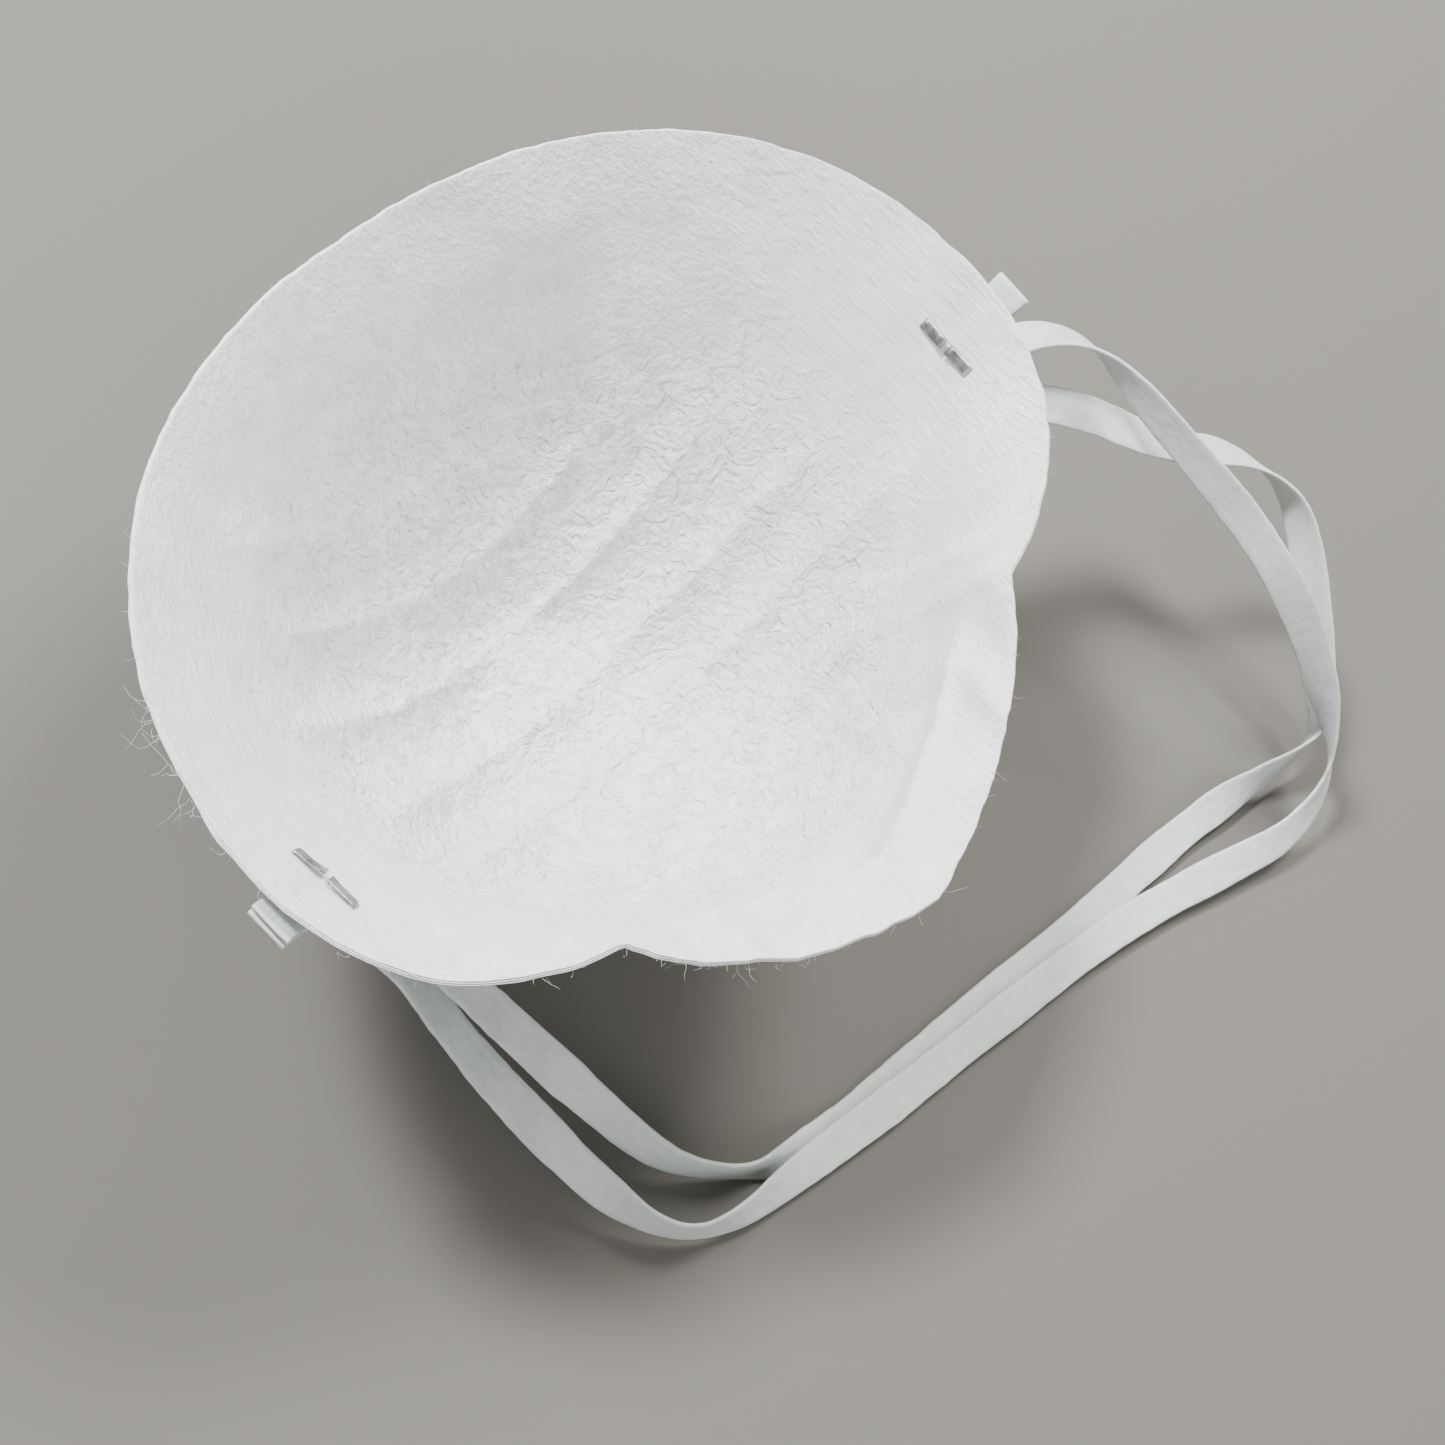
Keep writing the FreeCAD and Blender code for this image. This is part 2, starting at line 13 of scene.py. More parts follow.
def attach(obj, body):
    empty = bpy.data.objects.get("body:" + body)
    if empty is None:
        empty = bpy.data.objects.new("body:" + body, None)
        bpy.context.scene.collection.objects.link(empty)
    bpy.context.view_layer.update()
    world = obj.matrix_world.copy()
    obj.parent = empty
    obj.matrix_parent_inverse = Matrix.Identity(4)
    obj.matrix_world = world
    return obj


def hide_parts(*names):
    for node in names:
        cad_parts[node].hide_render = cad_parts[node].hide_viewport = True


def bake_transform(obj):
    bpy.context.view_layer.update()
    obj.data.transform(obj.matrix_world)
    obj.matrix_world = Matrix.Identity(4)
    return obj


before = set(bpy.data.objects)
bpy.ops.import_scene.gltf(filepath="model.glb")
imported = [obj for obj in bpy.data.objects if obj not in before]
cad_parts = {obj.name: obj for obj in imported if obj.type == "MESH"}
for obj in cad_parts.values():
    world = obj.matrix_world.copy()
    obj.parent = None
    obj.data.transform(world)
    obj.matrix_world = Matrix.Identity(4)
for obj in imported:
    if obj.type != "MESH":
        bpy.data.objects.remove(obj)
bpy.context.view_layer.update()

MM = 0.001
BODY = "mask"

# ------------------------------------------------------------------ the camera
LENS_TARGET = Vector((-0.00842, -0.02014, 0.05160))
LENS_DISTANCE = 0.2370
LENS_AZIMUTH = math.radians(-91.07)
LENS_ELEVATION = math.radians(62.68)
LENS_ROLL = math.radians(48.58)
FOCAL_LENGTH = 49.83  # millimetres, on a 36 mm square frame


def make_camera():
    """The camera: on a sphere round its target, then turned about its own line of sight."""
    flat = math.cos(LENS_ELEVATION)
    back = Vector(
        (math.sin(LENS_AZIMUTH) * flat, -math.cos(LENS_AZIMUTH) * flat, math.sin(LENS_ELEVATION))
    )
    level = Vector((math.cos(LENS_AZIMUTH), math.sin(LENS_AZIMUTH), 0))
    upright = back.cross(level)
    right = level * math.cos(LENS_ROLL) + upright * math.sin(LENS_ROLL)
    up = upright * math.cos(LENS_ROLL) - level * math.sin(LENS_ROLL)
    lens = bpy.data.cameras.new("camera")
    lens.lens = FOCAL_LENGTH
    lens.sensor_width = 36
    lens.clip_start = 0.01
    lens.clip_end = 20
    camera = bpy.data.objects.new("camera", lens)
    turn = Matrix((right, up, back)).transposed().to_4x4()
    camera.matrix_world = Matrix.Translation(LENS_TARGET + back * LENS_DISTANCE) @ turn
    bpy.context.collection.objects.link(camera)
    bpy.context.scene.camera = camera


make_camera()


# -------------------------------------------------------------- small helpers
def smooth(value, low, high):
    """0 below low, 1 above high, and 3t^2 - 2t^3 between them."""
    t = np.clip((value - low) / (high - low), 0, 1)
    return t * t * (3 - 2 * t)


def window(value, low, high, fade):
    """1 between low and high, fading to 0 over the fade outside each end."""
    return smooth(value, low - fade, low) * (1 - smooth(value, high, high + fade))


def waves(points, length, seed, count=28):
    """Soft irregular relief of about unit height: the mean of many sine waves that
    cross the points in seeded directions, each near the given wave length."""
    rng = np.random.default_rng(seed)
    way = rng.normal(size=(count, 3))
    way /= np.linalg.norm(way, axis=1)[:, None]
    pitch = length * rng.uniform(0.75, 1.4, count)
    phase = rng.uniform(0, 2 * math.pi, count)
    turns = points @ (way / pitch[:, None]).T * (2 * math.pi) + phase
    return np.sin(turns).sum(axis=-1) * math.sqrt(2 / count)


def unit(vectors):
    """Vectors scaled to length one."""
    return vectors / np.maximum(np.linalg.norm(vectors, axis=-1, keepdims=True), 1e-12)


def new_piece(name, points, faces, material, replaces=(), body=BODY):
    """A smooth-shaded mesh piece from its points and faces, with its finish."""
    mesh = bpy.data.meshes.new(name)
    mesh.from_pydata(np.asarray(points).reshape(-1, 3).tolist(), [], faces)
    mesh.validate()
    mesh.polygons.foreach_set("use_smooth", [True] * len(mesh.polygons))
    mesh.materials.append(material)
    piece = bpy.data.objects.new(name, mesh)
    bpy.context.collection.objects.link(piece)
    if body:
        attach(piece, body)
    if replaces:
        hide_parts(*replaces)
    return piece


def tube_faces(rows, round_count, caps=True):
    """Quads of a tube whose points run row by row, with a flat fan at each end."""
    row = np.arange(rows - 1)[:, None] * round_count
    here = np.arange(round_count)[None, :]
    following = (here + 1) % round_count
    quads = np.stack(
        [row + here, row + following, row + round_count + following, row + round_count + here],
        axis=-1,
    ).reshape(-1, 4)
    faces = quads.tolist()
    if caps:
        faces.append(list(range(round_count - 1, -1, -1)))
        last = (rows - 1) * round_count
        faces.append([last + n for n in range(round_count)])
    return faces


def clamped_weights(count, degree, steps):
    """Weight of each of count control points at each step: B-spline basis functions on
    evenly spaced knots whose ends are repeated, from the usual recurrence."""
    spans = count - degree
    knots = np.concatenate([[0] * degree, np.arange(spans + 1), [spans] * degree]).astype(float)
    steps = np.clip(steps, 0, spans - 1e-9)[..., None]
    weight = ((steps >= knots[:-1]) & (steps < knots[1:])).astype(float)
    for order in range(1, degree + 1):
        low, high = knots[: -order - 1], knots[order + 1 :]
        rise = knots[order:-1] - low
        fall = high - knots[1:-order]
        up = np.where(rise > 0, (steps - low) / np.where(rise > 0, rise, 1), 0)
        down = np.where(fall > 0, (high - steps) / np.where(fall > 0, fall, 1), 0)
        weight = up * weight[..., :-1] + down * weight[..., 1:]
    return weight


# -------------------------------------------------------------------- finishes
class Nodes:
    """Short calls for building one material's nodes."""

    def __init__(self, name):
        self.material = bpy.data.materials.new(name)
        self.material.use_nodes = True
        self.tree = self.material.node_tree
        self.shader = self.tree.nodes["Principled BSDF"]

    def add(self, kind, **settings):
        """A node with its properties and unlinked inputs set by name."""
        node = self.tree.nodes.new(kind)
        for key, value in settings.items():
            if hasattr(node, key):
                setattr(node, key, value)
            else:
                node.inputs[key.replace("_", " ").title()].default_value = value
        return node

    def link(self, start, end):
        """Join an output socket to an input socket."""
        self.tree.links.new(start, end)

    def place(self, scale=(1, 1, 1), turn=(0, 0, 0), uv=False):
        """Object (or UV) coordinates, scaled and turned."""
        where = self.add("ShaderNodeTexCoord")
        mapping = self.add("ShaderNodeMapping")
        mapping.inputs["Scale"].default_value = scale
        mapping.inputs["Rotation"].default_value = turn
        self.link(where.outputs["UV" if uv else "Object"], mapping.inputs["Vector"])
        return mapping.outputs["Vector"]

    def noise(self, where, scale, detail=4.0, roughness=0.55, distortion=0.0):
        """The height of a noise pattern."""
        node = self.add(
            "ShaderNodeTexNoise",
            scale=scale,
            detail=detail,
            roughness=roughness,
            distortion=distortion,
        )
        self.link(where, node.inputs["Vector"])
        return node.outputs["Fac"]

    def mix(self, share, first, second):
        """A colour between two, by a share."""
        node = self.add("ShaderNodeMix", data_type="RGBA")
        self.link(share, node.inputs[0])
        for socket, colour in ((node.inputs[6], first), (node.inputs[7], second)):
            if isinstance(colour, tuple):
                socket.default_value = (*colour, 1)
            else:
                self.link(colour, socket)
        return node.outputs[2]

    def span(self, value, low, high, to_low=0.0, to_high=1.0):
        """A value stretched from one range to another."""
        node = self.add("ShaderNodeMapRange")
        self.link(value, node.inputs[0])
        for number, amount in enumerate((low, high, to_low, to_high), start=1):
            node.inputs[number].default_value = amount
        return node.outputs[0]

    def sum(self, first, second, weight=1.0):
        """first + second times weight."""
        node = self.add("ShaderNodeMath", operation="MULTIPLY_ADD")
        self.link(second, node.inputs[0])
        node.inputs[1].default_value = weight
        self.link(first, node.inputs[2])
        return node.outputs[0]

    def times(self, first, second):
        """first times second."""
        node = self.add("ShaderNodeMath", operation="MULTIPLY")
        self.link(first, node.inputs[0])
        self.link(second, node.inputs[1])
        return node.outputs[0]

    def bump(self, height, distance, strength=1.0):
        """Bump the surface by a height pattern, on top of any bump before it."""
        node = self.add("ShaderNodeBump")
        node.inputs["Strength"].default_value = strength
        node.inputs["Distance"].default_value = distance
        self.link(height, node.inputs["Height"])
        if self.shader.inputs["Normal"].is_linked:
            before = self.shader.inputs["Normal"].links[0].from_socket
            self.link(before, node.inputs["Normal"])
        self.link(node.outputs[0], self.shader.inputs["Normal"])


def felt(name, thin, thick, sheen, coarse):
    """Needled non-woven: a web of fine fibres lying every way in the sheet. Fibres are
    long thin noise streaks at four headings; thick and thin places are a softer mottle,
    and a coarse crinkle is kept to the bowl by its height."""
    n = Nodes(name)
    streaks = None
    for number in range(4):
        turn = (0.9 * number, 0.7 + 0.5 * number, math.pi * number / 4 + 0.2)
        where = n.place(scale=(1400, 160, 1400), turn=turn)
        fibre = n.span(n.noise(where, 1.0, detail=2.0, distortion=0.6), 0.42, 0.72)
        streaks = fibre if streaks is None else n.sum(streaks, fibre)
    mottle = n.noise(n.place(), 220, detail=5.0)
    crinkle = n.noise(n.place(), 400, detail=3.0, roughness=0.5, distortion=1.8)
    split = n.add("ShaderNodeSeparateXYZ")
    n.link(n.place(), split.inputs[0])
    in_bowl = n.span(split.outputs["Z"], 26 * MM, 44 * MM, 1.0, 0.12)
    pills = n.noise(n.place(), 900, detail=3.0, roughness=0.7)
    share = n.span(n.sum(mottle, pills, 0.5), 0.55, 0.95)
    n.link(n.mix(share, thin, thick), n.shader.inputs["Base Color"])
    n.link(n.span(streaks, 0.2, 2.2, 0.62, 0.36), n.shader.inputs["Roughness"])
    n.shader.inputs["Specular IOR Level"].default_value = 0.5
    n.shader.inputs["Sheen Weight"].default_value = sheen
    n.shader.inputs["Sheen Roughness"].default_value = 0.6
    n.bump(mottle, 0.00016 * coarse, 0.7)
    n.bump(n.times(crinkle, in_bowl), 0.0011 * coarse, 1.0)
    n.bump(n.sum(streaks, pills, 0.6), 0.00009 * coarse, 0.7)
    return n.material


INNER_FELT = felt("inner felt", (0.61, 0.63, 0.61), (0.73, 0.74, 0.725), 0.1, 1.0)
FILTER_FELT = felt("filter web felt", (0.84, 0.85, 0.84), (0.92, 0.92, 0.92), 0.2, 0.7)
COVER_FELT = felt("outer cover felt", (0.64, 0.655, 0.64), (0.74, 0.75, 0.735), 0.1, 0.7)


def loose_fibre():
    """A single white fibre, slightly glossy, a little greyer towards some ends."""
    n = Nodes("loose fibre")
    tone = n.noise(n.place(), 400, detail=2.0)
    n.link(n.mix(tone, (0.70, 0.70, 0.68), (0.88, 0.88, 0.87)), n.shader.inputs["Base Color"])
    n.shader.inputs["Roughness"].default_value = 0.45
    return n.material


def elastic():
    """Pale elastic: green-white, satin, with a fine crumpled skin that is
    drawn out a little along the band, and faint cross lines where it was stretched."""
    n = Nodes("pale elastic")
    crumple = n.noise(n.place(scale=(380, 760, 1), uv=True), 1.0, detail=5.0, roughness=0.62)
    cross = n.noise(n.place(scale=(900, 60, 1), uv=True), 1.0, detail=3.0)
    cloud = n.noise(n.place(uv=True), 90, detail=2.0)
    share = n.span(n.sum(crumple, cloud, 0.7), 0.55, 1.1)
    pale = n.mix(share, (0.44, 0.485, 0.46), (0.56, 0.60, 0.575))
    n.link(pale, n.shader.inputs["Base Color"])
    n.link(n.span(crumple, 0.3, 0.7, 0.42, 0.6), n.shader.inputs["Roughness"])
    n.shader.inputs["Specular IOR Level"].default_value = 0.45
    n.bump(crumple, 0.00022, 0.7)
    n.bump(cross, 0.00008, 0.5)
    return n.material


def staple_wire():
    """Flattened bright wire: brushed along its length, with dull grey scuffs."""
    n = Nodes("staple wire")
    brushed = n.noise(n.place(scale=(6000, 600, 6000)), 1.0, detail=3.0)
    scuffs = n.noise(n.place(), 420, detail=4.0)
    tone = n.span(scuffs, 0.4, 0.62)
    n.link(n.mix(tone, (0.20, 0.205, 0.21), (0.38, 0.39, 0.40)), n.shader.inputs["Base Color"])
    n.link(n.span(brushed, 0.3, 0.7, 0.22, 0.5), n.shader.inputs["Roughness"])
    n.shader.inputs["Metallic"].default_value = 1.0
    n.bump(brushed, 0.00003, 0.6)
    return n.material


def clip_aluminium():
    """Rolled aluminium strip: fine rolling lines across, duller where it was handled."""
    n = Nodes("clip aluminium")
    rolled = n.noise(n.place(scale=(300, 9000, 9000)), 1.0, detail=3.0)
    handled = n.noise(n.place(), 260, detail=4.0)
    tone = n.span(handled, 0.35, 0.68)
    n.link(n.mix(tone, (0.58, 0.59, 0.60), (0.78, 0.79, 0.80)), n.shader.inputs["Base Color"])
    n.link(n.span(n.sum(rolled, handled), 0.7, 1.3, 0.28, 0.5), n.shader.inputs["Roughness"])
    n.shader.inputs["Metallic"].default_value = 1.0
    n.bump(rolled, 0.00002, 0.5)
    return n.material


LOOSE_FIBRE = loose_fibre()
ELASTIC = elastic()
STAPLE_WIRE = staple_wire()
CLIP_ALUMINIUM = clip_aluminium()

# ------------------------------------------------------------------ the straps
# Each row is a control point of the strap's line, and the way its width faces there.
CROWN_STRAP = [
    ((0.0674, -0.0037, 0.0543), (0, -1, 0)),
    ((0.0636, -0.0037, 0.0522), (0, -1, 0)),
    ((0.05994, -0.00369, 0.04898), (-0.065, -0.996, 0.062)),
    ((0.05634, -0.00369, 0.04522), (-0.065, -0.996, 0.062)),
    ((0.0552, -0.0042, 0.0404), (0, -1, 0)),
    ((0.0574, -0.0049, 0.0356), (0, -1, 0)),
    ((0.0632, -0.0062, 0.0336), (0.1, -1, 0)),
    ((0.0702, -0.0072, 0.0354), (0, -1, 0.1)),
    ((0.0768, -0.0082, 0.0374), (-0.2, -1, 0.15)),
    ((0.0821, -0.0122, 0.0387), (-0.68, -0.58, 0.46)),
    ((0.0845, -0.0171, 0.0393), (-0.66, -0.07, 0.75)),
    ((0.0844, -0.0234, 0.0397), (-0.05, -0.02, 1)),
    ((0.0846, -0.0325, 0.039), (0.32, -0.1, 0.94)),
    ((0.0858, -0.0416, 0.0373), (0.53, -0.11, 0.84)),
    ((0.0876, -0.0513, 0.0346), (0.68, -0.13, 0.72)),
    ((0.0883, -0.0619, 0.0313), (0.7, -0.23, 0.67)),
    ((0.0896, -0.0715, 0.0255), (0.66, -0.37, 0.66)),
    ((0.0897, -0.0791, 0.0201), (0.27, -0.59, 0.76)),
    ((0.0901, -0.0861, 0.0138), (-0.48, -0.54, 0.69)),
    ((0.0888, -0.0918, 0.0093), (-0.81, 0.14, 0.57)),
    ((0.0834, -0.0946, 0.0063), (-0.4, 0.68, 0.61)),
    ((0.0761, -0.0947, 0.0041), (0.01, 0.88, 0.48)),
    ((0.0691, -0.0924, 0.0028), (0.27, 0.93, 0.27)),
    ((0.0539, -0.0875, 0.0016), (0.2, 0.98, 0)),
    ((0.041, -0.084, 0.0015), (0.2, 0.98, 0)),
    ((0.0184, -0.0801, 0.0015), (0.2, 0.98, 0)),
    ((-0.0029, -0.0768, 0.0015), (0.2, 0.98, 0)),
    ((-0.0147, -0.0746, 0.0017), (0.2, 0.97, 0.1)),
    ((-0.024, -0.0728, 0.0027), (0.22, 0.81, 0.54)),
    ((-0.0319, -0.0714, 0.0039), (0.25, 0.52, 0.82)),
    ((-0.039, -0.068, 0.0042), (0.16, 0.09, 0.98)),
    ((-0.0429, -0.0614, 0.0048), (0.41, -0.02, 0.91)),
    ((-0.0449, -0.052, 0.0071), (0.88, -0.02, 0.48)),
    ((-0.0469, -0.04, 0.0128), (0.99, 0.14, 0.05)),
    ((-0.0489, -0.0282, 0.02), (0.95, 0.28, -0.15)),
    ((-0.0506, -0.0172, 0.031), (0.85, 0.45, -0.2)),
    ((-0.0534, -0.0098, 0.0374), (0.65, 0.75, -0.1)),
    ((-0.0554, -0.005, 0.041), (0.3, 0.95, 0)),
    ((-0.05634, -0.00369, 0.04522), (-0.065, 0.996, -0.062)),
    ((-0.05994, -0.00369, 0.04898), (-0.065, 0.996, -0.062)),
    ((-0.0626, -0.0037, 0.0512), (0, 1, 0)),
    ((-0.0654, -0.0037, 0.0526), (0, 1, 0)),
]
NECK_STRAP = [
    ((0.0666, -0.0036, 0.055), (0, -1, 0)),
    ((0.0631, -0.0036, 0.0527), (0, -1, 0)),
    ((0.05944, -0.00362, 0.04946), (-0.065, -0.996, 0.062)),
    ((0.05584, -0.00362, 0.0457), (-0.065, -0.996, 0.062)),
    ((0.0538, -0.0046, 0.0409), (0, -1, 0)),
    ((0.0544, -0.0066, 0.0358), (-0.2, -0.95, 0.1)),
    ((0.059, -0.0102, 0.032), (-0.4, -0.85, 0)),
    ((0.068, -0.0124, 0.0313), (-0.45, -0.85, 0)),
    ((0.0759, -0.0168, 0.0318), (-0.55, -0.75, -0.1)),
    ((0.0819, -0.0241, 0.0321), (-0.64, -0.64, -0.42)),
    ((0.085, -0.0298, 0.0318), (-0.78, -0.55, -0.3)),
    ((0.0917, -0.0367, 0.03), (-0.64, -0.77, -0.05)),
    ((0.1, -0.042, 0.0279), (-0.59, -0.77, 0.26)),
    ((0.1051, -0.0482, 0.0264), (-0.53, -0.43, 0.73)),
    ((0.1064, -0.0547, 0.0251), (-0.19, -0.25, 0.95)),
    ((0.1049, -0.0604, 0.0231), (0.2, -0.42, 0.89)),
    ((0.1017, -0.0674, 0.0202), (0.56, -0.56, 0.62)),
    ((0.0988, -0.0749, 0.0156), (0.39, -0.6, 0.7)),
    ((0.0968, -0.0821, 0.0102), (0.07, -0.59, 0.8)),
    ((0.0941, -0.0866, 0.0075), (-0.42, -0.14, 0.9)),
    ((0.0892, -0.0873, 0.0058), (-0.24, 0.31, 0.92)),
    ((0.082, -0.0857, 0.004), (-0.05, 0.59, 0.81)),
    ((0.0724, -0.0836, 0.0022), (0.12, 0.96, 0.27)),
    ((0.0606, -0.082, 0.0007), (0.2, 0.98, 0)),
    ((0.0396, -0.0803, 0.0005), (0.2, 0.98, 0)),
    ((0.0229, -0.0777, 0.0005), (0.2, 0.98, 0)),
    ((-0.0004, -0.075, 0.0005), (0.2, 0.98, 0)),
    ((-0.0125, -0.0734, 0.0005), (0.2, 0.98, 0)),
    ((-0.0216, -0.0708, 0.0021), (0.39, 0.72, 0.58)),
    ((-0.0274, -0.0675, 0.003), (0.18, 0.01, 0.98)),
    ((-0.0328, -0.0618, 0.0041), (0.34, 0, 0.94)),
    ((-0.036, -0.0559, 0.0061), (0.66, -0.09, 0.75)),
    ((-0.0391, -0.0444, 0.0117), (0.87, -0.05, 0.5)),
    ((-0.0426, -0.033, 0.0199), (0.96, 0.29, 0.06)),
    ((-0.0462, -0.0242, 0.0292), (0.87, 0.47, -0.15)),
    ((-0.0486, -0.017, 0.0348), (0.8, 0.6, -0.1)),
    ((-0.0526, -0.0088, 0.0402), (0.4, 0.9, 0)),
    ((-0.05584, -0.00362, 0.0457), (-0.065, 0.996, -0.062)),
    ((-0.05944, -0.00362, 0.04946), (-0.065, 0.996, -0.062)),
    ((-0.0622, -0.0036, 0.0519), (0, 1, 0)),
    ((-0.0649, -0.0036, 0.0536), (0, 1, 0)),
]

STRAP_WIDTH = 5.5 * MM
STRAP_THICKNESS = 0.6 * MM
LINE_STEPS = 14  # straight pieces between two control points
SLOW_WAVER = (0.025, 14 * MM)  # share of the width, and wave length
FAST_WAVER = (0.012, 3 * MM)
LEAST_WIDTH, MOST_WIDTH = 0.95, 1.05  # shares of the width
FLAT_POINTS = 6  # on each flat side of the section


def strap_line(name, rows):
    """The strap's centre line: one NURBS spline with the route's points."""
    curve = bpy.data.curves.new(name + "_line", "CURVE")
    curve.dimensions = "3D"
    curve.resolution_u = LINE_STEPS
    spline = curve.splines.new("NURBS")
    spline.points.add(len(rows) - 1)
    spline.points.foreach_set("co", [n for place, way in rows for n in (*place, 1.0)])
    spline.order_u = 3
    spline.use_endpoint_u = True
    holder = bpy.data.objects.new(name + "_line", curve)
    mesh = bpy.data.meshes.new_from_object(holder)
    line = np.array([vertex.co for vertex in mesh.vertices])
    bpy.data.objects.remove(holder)
    bpy.data.meshes.remove(mesh)
    bpy.data.curves.remove(curve)
    return line


def make_strap(name, node, rows, seed):
    """A flat band with rounded edges along the line: the section is a rectangle whose
    corners are quarter rounds, its width way is blended between the route's rows, and
    the edges waver a little, as in a cut and stretched elastic."""
    line = strap_line(name, rows)
    along = unit(np.gradient(line, axis=0))
    steps = np.linspace(0, len(rows) - 2, len(line))
    ways = clamped_weights(len(rows), 2, steps) @ unit(np.array([way for place, way in rows]))
    ways = unit(ways - along * (ways * along).sum(axis=1)[:, None])
    faces_out = np.cross(along, ways)
    corner = STRAP_THICKNESS / 2
    arc = np.radians([-90, -45, 0, 45, 90])
    flat = STRAP_WIDTH / 2 - corner
    right = np.stack([flat + corner * np.cos(arc), corner * np.sin(arc)], axis=1)
    between = np.linspace(flat, -flat, FLAT_POINTS + 2)[1:-1]
    top = np.stack([between, np.full(FLAT_POINTS, corner)], axis=1)
    left = right * np.array([-1, -1])
    bottom = top * np.array([-1, -1])
    section = np.concatenate([right, top, left, bottom])
    waver = 1 + SLOW_WAVER[0] * waves(line, SLOW_WAVER[1], seed)
    waver = waver + FAST_WAVER[0] * waves(line, FAST_WAVER[1], seed + 1)
    across = section[:, 0][None, :] * np.clip(waver, LEAST_WIDTH, MOST_WIDTH)[:, None]
    points = (
        line[:, None, :]
        + ways[:, None, :] * across[..., None]
        + faces_out[:, None, :] * section[:, 1][None, :, None]
    )
    count = len(section)
    faces = tube_faces(len(line), count)
    strap = new_piece(name, points, faces, ELASTIC, (node,), body=None)
    far = np.concatenate([[0], np.cumsum(np.linalg.norm(np.diff(line, axis=0), axis=1))])
    place = np.stack([np.repeat(far, count), across.reshape(-1)], axis=1)
    layer = strap.data.uv_layers.new(name="strap")
    corners = np.empty(len(strap.data.loops), dtype=np.int64)
    strap.data.loops.foreach_get("vertex_index", corners)
    layer.data.foreach_set("uv", place[corners].reshape(-1))
    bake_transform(strap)
    return strap


make_strap("head_strap", "crown_strap", CROWN_STRAP, 51)
make_strap("nape_strap", "neck_strap", NECK_STRAP, 61)

# -------------------------------------------------------------- the cup's form
RIM_WIDTH = 126.4 * MM
RIM_LENGTH = 108.4 * MM
EAR_HEIGHT = 55.6 * MM
CHIN_HEIGHT = 48.8 * MM
NOSE_HEIGHT = 46.6 * MM
CROWN_FLAT = 9.5 * MM
LAYER_STACK = 1.65 * MM
NOTCH_ANGLE = 130.0
NOTCH_DEPTH = 0.205
NOTCH_POWER = 1.7
EAR_POWER = 1.7
ROUNDNESS = 2.15
# chin reach and height, ear reach and height, nose reach and height, notch
CUP_ROWS = np.array(
    [
        (1.000, 1.000, 1.000, 1.000, 1.000, 1.000, 1.00),
        (0.934, 0.930, 0.938, 0.932, 0.922, 0.966, 0.95),
        (0.862, 0.842, 0.868, 0.850, 0.850, 0.922, 0.80),
        (0.784, 0.722, 0.786, 0.735, 0.792, 0.780, 0.52),
        (0.692, 0.566, 0.700, 0.588, 0.742, 0.592, 0.28),
        (0.580, 0.390, 0.584, 0.408, 0.676, 0.398, 0.12),
        (0.444, 0.228, 0.438, 0.216, 0.560, 0.226, 0.04),
        (0.300, 0.090, 0.286, 0.070, 0.372, 0.085, 0.00),
    ]
)
ALL_ROWS = len(CUP_ROWS) + 2  # with the two rows of the flat crown
LAST_ROW = ALL_ROWS - 3  # spans of the cubic that runs down them


def cup_poles(turn):
    """Ten points down the wall at each angle from the chin, in degrees. The rim is an
    oval of power 2.15, dipping in at 130 degrees each side; each row is the rim drawn in
    and lowered by shares that pass from the ear's to the end's with the sine squared."""
    away = np.abs((turn + 180) % 360 - 180)
    sine, cosine = np.sin(np.radians(away)), np.cos(np.radians(away))
    oval = (
        (np.abs(sine) / (RIM_WIDTH / 2)) ** ROUNDNESS
        + (np.abs(cosine) / (RIM_LENGTH / 2)) ** ROUNDNESS
    ) ** (-1 / ROUNDNESS)
    to_notch = NOTCH_DEPTH * np.clip((away - 90) / (NOTCH_ANGLE - 90), 0, 1) ** NOTCH_POWER
    past_notch = NOTCH_DEPTH * (180 - away) / (180 - NOTCH_ANGLE)
    dip = np.where(away < NOTCH_ANGLE, to_notch, past_notch)
    end = np.where(away < 90, CHIN_HEIGHT, NOSE_HEIGHT)
    rim = end + (EAR_HEIGHT - end) * np.abs(sine) ** EAR_POWER
    side = sine**2
    rows = []
    for chin_r, chin_h, ear_r, ear_h, nose_r, nose_h, notch in CUP_ROWS:
        end_r = np.where(away < 90, chin_r, nose_r)
        end_h = np.where(away < 90, chin_h, nose_h)
        reach = ear_r * side + end_r * (1 - side)
        drop = ear_h * side + end_h * (1 - side)
        rows.append((oval * reach * (1 - notch * dip), LAYER_STACK + (rim - LAYER_STACK) * drop))
    for flat in (1.3 * CROWN_FLAT, CROWN_FLAT):
        rows.append((np.full_like(oval, flat), np.full_like(oval, LAYER_STACK)))
    radius = np.array([row[0] for row in rows])
    height = np.array([row[1] for row in rows])
    x = radius * np.sin(np.radians(turn))
    y = radius * np.cos(np.radians(turn))
    return np.stack([x, y, height], axis=-1)


def down_the_wall(turn, down):
    """Points on the inner face without its relief: a cubic B-spline down the ten rows,
    at each pair of an angle and a place down the wall (one row of places per line)."""
    weights = clamped_weights(ALL_ROWS, 3, down)
    return np.einsum("str,rtc->stc", weights, cup_poles(turn))


